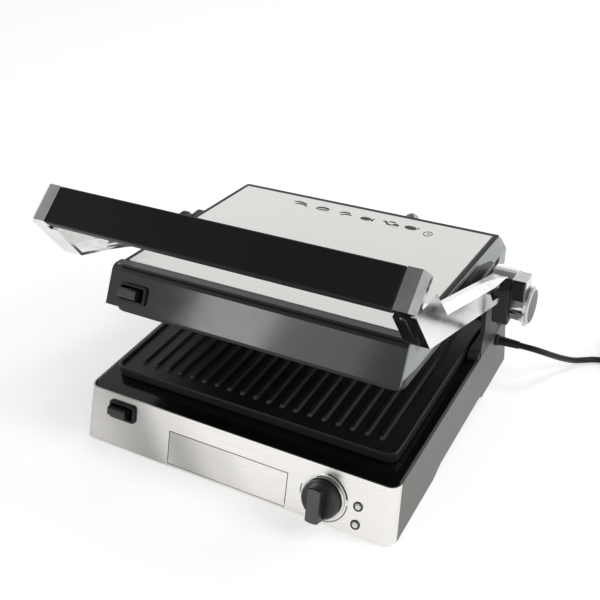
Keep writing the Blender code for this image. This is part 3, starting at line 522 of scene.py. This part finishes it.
ALUMINISED = finish_of("aluminised_sheet", grey(150), grey(178), CAST, (0.38, 0.55), 0.00004, metal=1.0)
HEATER = finish_of(
    "heater_sheath", rgb(84, 78, 72), rgb(112, 106, 98), CAST, (0.40, 0.55), 0.00004, metal=0.9,
)
PIN_STEEL = finish_of("pin_steel", grey(150), grey(190), (2400, 60, 60), (0.2, 0.32), 0.00002, metal=1.0)
DARK_PLASTIC = satin_black(
    "dark_grey_plastic", low=rgb(42, 44, 44), high=rgb(56, 58, 58), rough=(0.40, 0.52),
)
BUTTON = satin_black("button_black", rough=(0.26, 0.38), specular=0.45)
RUBBER = satin_black("rubber", low=grey(24), high=grey(38), rough=(0.65, 0.8), depth=0.00008)
PVC = satin_black("cord_sheath", low=grey(13), high=grey(22), rough=(0.36, 0.48), depth=0.00003)
CAP = cap_finish()
PAN = finish_of("pan_steel", grey(96), grey(128), CAST, (0.4, 0.55), 0.00004, metal=0.8)
LAMP_RING = finish_of("lamp_ring", grey(58), grey(84), POLISH, (0.25, 0.35), 0.00002, metal=0.8)
KNOB = knob_finish()
TOP_PLATE = top_plate_steel()
PLUG = plug_finish()
LENS = lamp_lens("lamp_lens")
INK = finish_of("dark_ink", rgb(30, 31, 32), rgb(46, 47, 48), SPECKLE, (0.45, 0.6), 0.00001)
PALE_INK = finish_of("pale_ink", rgb(128, 128, 128), rgb(150, 150, 150), SPECKLE, (0.45, 0.6), 0.00001)

FINISHES = {
    PANEL_STEEL: ("front_panel",),
    TRAY_STEEL: ("drip_tray_front",),
    SIDE_GREY: ("right_side_cover", "left_side_cover"),
    DECK: ("deck",),
    PAN: ("bottom_pan",),
    SATIN: (
        "rear_panel", "lid_frame", "lid_rear_cover", "lower_button_frame", "upper_button_frame",
        "lock_lever_inset", "thermostat_body",
    ),
    RUBBER: ("foot_1", "foot_2", "foot_3", "foot_4"),
    COATING: ("lower_plate", "upper_plate"),
    ALUMINISED: ("lower_heat_shield", "upper_heat_shield", "drip_tray"),
    HEATER: ("lower_heater", "upper_heater"),
    CHROME_TRIM: ("knob_bezel", "lock_lever"),
    KNOB: ("thermostat_knob",),
    PIN_STEEL: (
        "thermostat_shaft", "right_lid_pivot", "left_lid_pivot", "right_hinge_pin", "left_hinge_pin",
    ),
    LAMP_RING: ("power_lamp_bezel", "ready_lamp_bezel"),
    LENS: ("power_lamp", "ready_lamp"),
    BUTTON: ("lower_release_button", "upper_release_button"),
    GLOSS: ("lid_fascia",),
    TOP_PLATE: ("lid_top_plate",),
    COVER: ("right_lid_cover", "left_lid_cover"),
    SILVER: ("lid_wire_guard",),
    CHROME: ("right_arm", "left_arm"),
    DARK_PLASTIC: (
        "right_hinge_knuckle", "left_hinge_knuckle", "right_hinge_tower", "left_hinge_tower",
        "left_hinge_cap",
    ),
    BAR: ("handle_bar",),
    CAP: ("lock_lever_cap",),
    PVC: ("cord_strain_relief", "power_cord", "power_cord_tail", "power_cord_coil"),
    PLUG: ("plug",),
}


def paint():
    for shader, names in FINISHES.items():
        for name in names:
            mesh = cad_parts[name].data
            mesh.materials.clear()
            mesh.materials.append(shader.material)
    CORD.data.materials.append(PVC.material)


paint()


# ---- Rounded edges ------------------------------------------------------------------------------
ROUNDED = {                                     # edge radius in metres
    "right_arm": 0.0014, "left_arm": 0.0014, "handle_bar": 0.0008,
    "right_hinge_knuckle": 0.0008, "left_hinge_knuckle": 0.0008, "lock_lever": 0.0006,
    "right_lid_cover": 0.0010, "left_lid_cover": 0.0010, "lid_fascia": 0.0010,
    "lower_release_button": 0.0008, "upper_release_button": 0.0008, "thermostat_knob": 0.0006,
    "lower_plate": 0.0005, "upper_plate": 0.0005, "deck": 0.0005,
}


FLAT_WITHIN = math.radians(1)
SHARP_FROM = math.radians(28)


def round_edges():
    """Cast, moulded and pressed edges are rounded a little."""
    for name, radius in ROUNDED.items():
        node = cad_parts[name]
        flat = node.modifiers.new("flat_faces", "DECIMATE")
        flat.decimate_type = "DISSOLVE"
        flat.angle_limit = FLAT_WITHIN
        bevel = node.modifiers.new("rounding", "BEVEL")
        bevel.width = radius
        bevel.segments = 3
        bevel.limit_method = "ANGLE"
        bevel.angle_limit = SHARP_FROM
        node.data.polygons.foreach_set("use_smooth", [True] * len(node.data.polygons))
        smooth = node.modifiers.new("weighted", "WEIGHTED_NORMAL")
        smooth.keep_sharp = True


round_edges()


# ---- Printed marks ------------------------------------------------------------------------------
def flat_piece(name, loops, place, thick, shader, body):
    """A thin piece with these outlines; place turns a drawn point, in metres, into one in space."""
    data = bpy.data.curves.new(name, "CURVE")
    data.dimensions = "2D"
    data.fill_mode = "BOTH"
    data.extrude = thick / 2
    for loop in loops:
        spline = data.splines.new("POLY")
        spline.points.add(len(loop) - 1)
        for knot, (x, y) in zip(spline.points, loop):
            knot.co = (x, y, 0.0, 1.0)
        spline.use_cyclic_u = True
    curve = bpy.data.objects.new(name, data)
    bpy.context.scene.collection.objects.link(curve)
    bpy.context.view_layer.update()
    mesh = bpy.data.meshes.new_from_object(curve.evaluated_get(bpy.context.evaluated_depsgraph_get()))
    bpy.data.objects.remove(curve)
    mesh.name = name
    mesh.transform(place)
    mesh.materials.clear()
    mesh.materials.append(shader.material)
    piece = bpy.data.objects.new(name, mesh)
    bpy.context.scene.collection.objects.link(piece)
    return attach(piece, body)


def plane_at(origin, across, up):
    """The matrix that lays a drawing's x along across and its y along up, at origin."""
    out = across.cross(up)
    turn = Matrix((across, up, out)).transposed().to_4x4()
    return Matrix.Translation(origin) @ turn


def ring_part(inner, outer, start, end, steps=48):
    """A drawn band between two radii, from start to end in degrees clockwise from the top."""
    loop = []
    for radius, angles in ((outer, range(steps + 1)), (inner, range(steps, -1, -1))):
        for step in angles:
            angle = math.radians(start + (end - start) * step / steps)
            loop.append((radius * math.sin(angle), radius * math.cos(angle)))
    return loop


def oval(x, y, half_x, half_y, turn=0.0, steps=24):
    loop = []
    for step in range(steps):
        angle = 2 * math.pi * step / steps
        a, b = half_x * math.cos(angle), half_y * math.sin(angle)
        loop.append((
            x + a * math.cos(turn) - b * math.sin(turn),
            y + a * math.sin(turn) + b * math.cos(turn),
        ))
    return loop


def bow(x, y, length, rise, thick, turn=0.0, steps=16):
    """A bent bar with tapered round ends, bowed upwards."""
    upper, lower = [], []
    for step in range(steps + 1):
        t = 2 * step / steps - 1
        half = thick / 2 * math.sqrt(max(1 - t ** 4, 0.02))
        centre = rise * (1 - t * t)
        upper.append((t * length / 2, centre + half))
        lower.append((t * length / 2, centre - half))
    loop = upper + lower[::-1]
    return [
        (x + a * math.cos(turn) - b * math.sin(turn), y + a * math.sin(turn) + b * math.cos(turn))
        for a, b in loop
    ]


ICON_WIDE = 0.00122                             # metres for each drawn millimetre
ICON_TALL = 0.00150
INK_THICK = 0.00012
INK_GAP = 0.00004


def lid_place(x, front_y):
    """A place on the top plate's upper face."""
    top = max(v.co.dot(LID_UP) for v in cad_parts["lid_top_plate"].data.vertices)
    y = front_y + FRONT_Y
    height = (top - y * LID_UP.y) / LID_UP.z
    return Vector((x, y, height)) + LID_UP * (INK_GAP + INK_THICK / 2)


# Each drawing is in millimetres about its own middle.
DRAWINGS = {
    "icon_bacon": (-0.0660, 0.2800, [
        bow(-1.4, 1.5, 14.0, 1.5, 1.7, -0.10), bow(1.2, -1.6, 13.5, 1.5, 1.7, -0.12),
    ]),
    "icon_sandwich": (-0.0384, 0.2790, [
        bow(0, 0.2, 13.0, 1.9, 2.4), oval(0, -1.7, 6.3, 0.75),
    ]),
    "icon_sausages": (-0.0106, 0.2785, [
        bow(-1.4, 0.6, 10.0, 1.9, 1.7, 0.25), bow(1.4, -2.3, 10.0, 1.9, 1.7, 0.25),
    ]),
    "icon_fish": (0.0147, 0.2770, [
        oval(-1.2, 0, 4.9, 2.7), [(3.2, 0.0), (6.6, 2.6), (5.8, 0.0), (6.6, -2.6)],
    ]),
    "icon_vegetables": (0.0412, 0.2770, [
        bow(-4.6, 0.2, 8.6, 1.2, 1.9, -0.7), bow(0.6, 2.7, 6.8, 0.9, 1.5),
        oval(5.2, -1.0, 3.1, 2.6, 0.3), oval(0.2, -1.6, 2.1, 0.9),
    ]),
    "icon_steak": (0.0652, 0.2780, [
        oval(-1.0, -0.3, 5.6, 2.9, -0.08), oval(5.6, 0.8, 0.9, 1.0),
    ]),
    "icon_clock": (0.0852, 0.2720, [
        oval(0, 0, 3.9, 3.9, steps=36), oval(0, 0, 3.25, 3.25, steps=36),
        [(-0.25, -0.3), (0.25, -0.3), (0.25, 2.2), (-0.25, 2.2)],
        [(0.35, -0.3), (1.8, -0.3), (1.8, 0.2), (0.35, 0.2)],
    ]),
}


def make_icons():
    for name, (x, front_y, loops) in DRAWINGS.items():
        scaled = [[(a * ICON_WIDE, b * ICON_TALL) for a, b in loop] for loop in loops]
        place = plane_at(lid_place(x, front_y), Vector((1, 0, 0)), LID_BACK)
        flat_piece(name, scaled, place, INK_THICK, INK, "lid")


def make_knob_scale():
    across = Vector((1, 0, 0))
    up = Vector((0, math.sin(PANEL_LEAN), math.cos(PANEL_LEAN)))
    place = plane_at(on_panel(KNOB_X, KNOB_V, INK_GAP + INK_THICK / 2), across, up)
    bands = (
        ("scale_high", INK, 0.0221, 0.0236, 4, 78),
        ("scale_middle", PALE_INK, 0.0222, 0.0235, 92, 178),
        ("scale_low", PALE_INK, 0.0222, 0.0235, 262, 284),
    )
    for name, shader, inner, outer, start, end in bands:
        loops = [ring_part(inner, outer, start, end)]
        flat_piece(name, loops, place, INK_THICK, shader, "base")


make_icons()
make_knob_scale()


# ---- Floor, world and lights --------------------------------------------------------------------
FLOOR_HALF = 6.0
FLOOR_Z = -0.0002
FLOOR_GLOW = 0.42


def make_floor():
    mesh = bpy.data.meshes.new("floor")
    corners = [(-1, -1), (1, -1), (1, 1), (-1, 1)]
    mesh.from_pydata([(a * FLOOR_HALF, b * FLOOR_HALF, FLOOR_Z) for a, b in corners], [], [(0, 1, 2, 3)])
    floor = bpy.data.objects.new("floor", mesh)
    bpy.context.scene.collection.objects.link(floor)
    shader = Shader("floor_paper")
    grain = shader.noise((30, 30, 30), 2.0)
    shader.colour(shader.mix(grain, grey(243), grey(246)))
    shader.roughness(shader.spread(grain, 0.3, 0.7, 0.85, 0.95))
    shader.fixed(emission_color=grey(255), emission_strength=FLOOR_GLOW)
    mesh.materials.append(shader.material)


WORLD_STOPS = (                                 # sine of the elevation, brightness
    (0.00, 1.40), (0.10, 1.30), (0.22, 1.00), (0.34, 1.00),
    (0.50, 0.95), (0.62, 0.48), (0.78, 0.20), (1.00, 0.14),
)


def make_world():
    """A studio that is bright all round and dark overhead."""
    world = bpy.data.worlds.new("studio")
    world.use_nodes = True
    bpy.context.scene.world = world
    tree = world.node_tree
    background = tree.nodes["Background"]
    coords = tree.nodes.new("ShaderNodeTexCoord")
    split = tree.nodes.new("ShaderNodeSeparateXYZ")
    ramp = tree.nodes.new("ShaderNodeValToRGB")
    tree.links.new(coords.outputs["Generated"], split.inputs["Vector"])
    tree.links.new(split.outputs["Z"], ramp.inputs["Fac"])
    while len(ramp.color_ramp.elements) < len(WORLD_STOPS):
        ramp.color_ramp.elements.new(0.5)
    for element, (place, value) in zip(ramp.color_ramp.elements, WORLD_STOPS):
        element.position = place
        element.color = (value, value, value, 1.0)
    tree.links.new(ramp.outputs["Color"], background.inputs["Color"])
    background.inputs["Strength"].default_value = 1.0


LIGHTS = (                                      # name, place, aim, size, power in watts
    ("front_softbox", (-0.72, -1.29, 0.68), (0.02, -0.09, 0.15), (0.20, 0.36), 1.3),
    ("dim_softbox", (-0.52, -1.38, 0.68), (0.05, -0.09, 0.15), (0.26, 0.34), 0.40),
    ("key", (1.3, 0.9, 2.4), (0, 0, 0.1), (0.8, 0.8), 14),
    ("side", (2.2, 0.4, 1.3), (0, 0, 0.1), (0.9, 0.9), 14),
)


def make_light(name, place, aim, size, power):
    data = bpy.data.lights.new(name, "AREA")
    data.shape = "RECTANGLE"
    data.size, data.size_y = size
    data.energy = power
    light = bpy.data.objects.new(name, data)
    light.location = place
    light.rotation_euler = (Vector(aim) - Vector(place)).to_track_quat("-Z", "Y").to_euler()
    bpy.context.scene.collection.objects.link(light)


make_floor()
make_world()
for light in LIGHTS:
    make_light(*light)
bpy.context.scene.view_settings.view_transform = "Standard"
